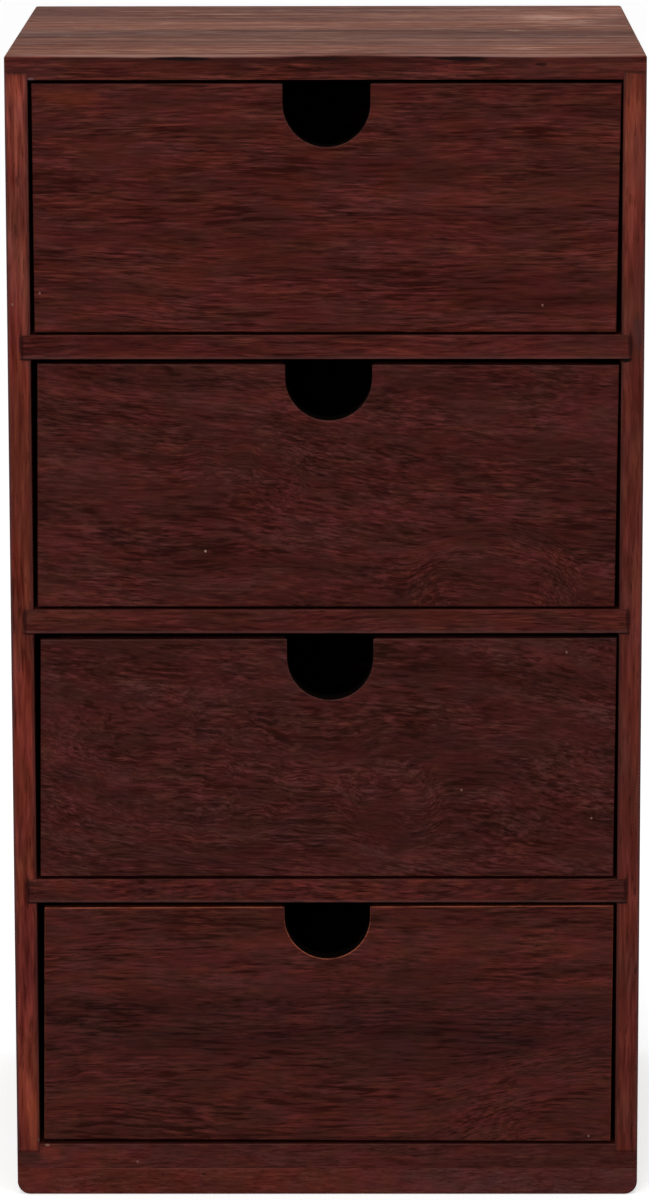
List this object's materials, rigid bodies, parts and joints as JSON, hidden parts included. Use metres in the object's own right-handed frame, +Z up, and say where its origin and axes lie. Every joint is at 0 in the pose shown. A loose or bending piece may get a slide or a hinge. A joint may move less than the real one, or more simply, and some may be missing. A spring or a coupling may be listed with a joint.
{
  "type": "jewellery box with drawers",
  "caption": "Small upright wooden chest with equal drawers stacked between shelves housed in its sides; each drawer slides forward by a U-shaped finger notch in its top edge.",
  "frame": {"origin": "middle of the underside of the base board", "axes": "+X to the right as seen from the front, +Y from the drawer fronts to the back, +Z up; drawers open towards -Y"},
  "size_m": [0.25, 0.22, 0.46],
  "materials": {
    "case_wood": "dark red-brown stain, thin satin wax",
    "side_wood": "red-brown stain, thin satin wax",
    "drawer_front_wood": "dark red-brown stain, thin satin wax",
    "drawer_wall_wood": "dark stain, matt",
    "sheet_wood": "thin sheet, dark stain, matt",
    "steel": "bright drawn wire"
  },
  "bodies": {
    "case": {"top_panel": "case_wood", "left_side_panel": "side_wood", "right_side_panel": "side_wood", "shelf_1": "case_wood", "shelf_2": "case_wood", "shelf_3": "case_wood", "bottom_panel": "case_wood", "base_board": "case_wood", "back_panel": "sheet_wood", "case_brads": "steel", "back_panel_staples": "steel"},
    "drawer_1": {"drawer_1_front": "drawer_front_wood", "drawer_1_left_wall": "drawer_wall_wood", "drawer_1_right_wall": "drawer_wall_wood", "drawer_1_rear_wall": "drawer_wall_wood", "drawer_1_bottom": "sheet_wood", "drawer_1_brads": "steel"},
    "drawer_2": {"drawer_2_front": "drawer_front_wood", "drawer_2_left_wall": "drawer_wall_wood", "drawer_2_right_wall": "drawer_wall_wood", "drawer_2_rear_wall": "drawer_wall_wood", "drawer_2_bottom": "sheet_wood", "drawer_2_brads": "steel"},
    "drawer_3": {"drawer_3_front": "drawer_front_wood", "drawer_3_left_wall": "drawer_wall_wood", "drawer_3_right_wall": "drawer_wall_wood", "drawer_3_rear_wall": "drawer_wall_wood", "drawer_3_bottom": "sheet_wood", "drawer_3_brads": "steel"},
    "drawer_4": {"drawer_4_front": "drawer_front_wood", "drawer_4_left_wall": "drawer_wall_wood", "drawer_4_right_wall": "drawer_wall_wood", "drawer_4_rear_wall": "drawer_wall_wood", "drawer_4_bottom": "sheet_wood", "drawer_4_brads": "steel"}
  },
  "joints": [
    {"name": "drawer_1_slide", "type": "slide", "parent": "case", "child": "drawer_1", "axis": [0, -1, 0], "range_m": [0, 0.17]},
    {"name": "drawer_2_slide", "type": "slide", "parent": "case", "child": "drawer_2", "axis": [0, -1, 0], "range_m": [0, 0.17]},
    {"name": "drawer_3_slide", "type": "slide", "parent": "case", "child": "drawer_3", "axis": [0, -1, 0], "range_m": [0, 0.17]},
    {"name": "drawer_4_slide", "type": "slide", "parent": "case", "child": "drawer_4", "axis": [0, -1, 0], "range_m": [0, 0.17]}
  ]
}
